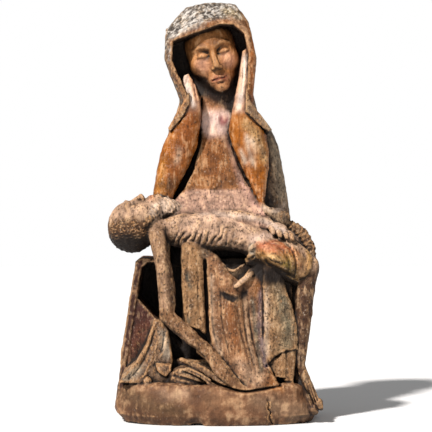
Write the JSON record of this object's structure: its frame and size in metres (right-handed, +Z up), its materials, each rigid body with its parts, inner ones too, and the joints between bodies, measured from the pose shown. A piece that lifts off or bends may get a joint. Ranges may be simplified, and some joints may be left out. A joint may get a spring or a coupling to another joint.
{
  "type": "carved wooden pieta",
  "caption": "Standing-height carved and painted wooden group of a hooded seated woman with a dead man across her lap, on a bench and a low rounded base",
  "frame": {"origin": "on the sawn underside, below the middle of the seated woman", "axes": "+X to the viewer's right, +Y away from the viewer, +Z up; the figures face -Y"},
  "size_m": [0.3041, 0.1751, 0.5999],
  "materials": {
    "pieta": "worn satin paint over carved wood"
  },
  "bodies": {
    "root": {"pieta": "pieta"}
  },
  "joints": []
}
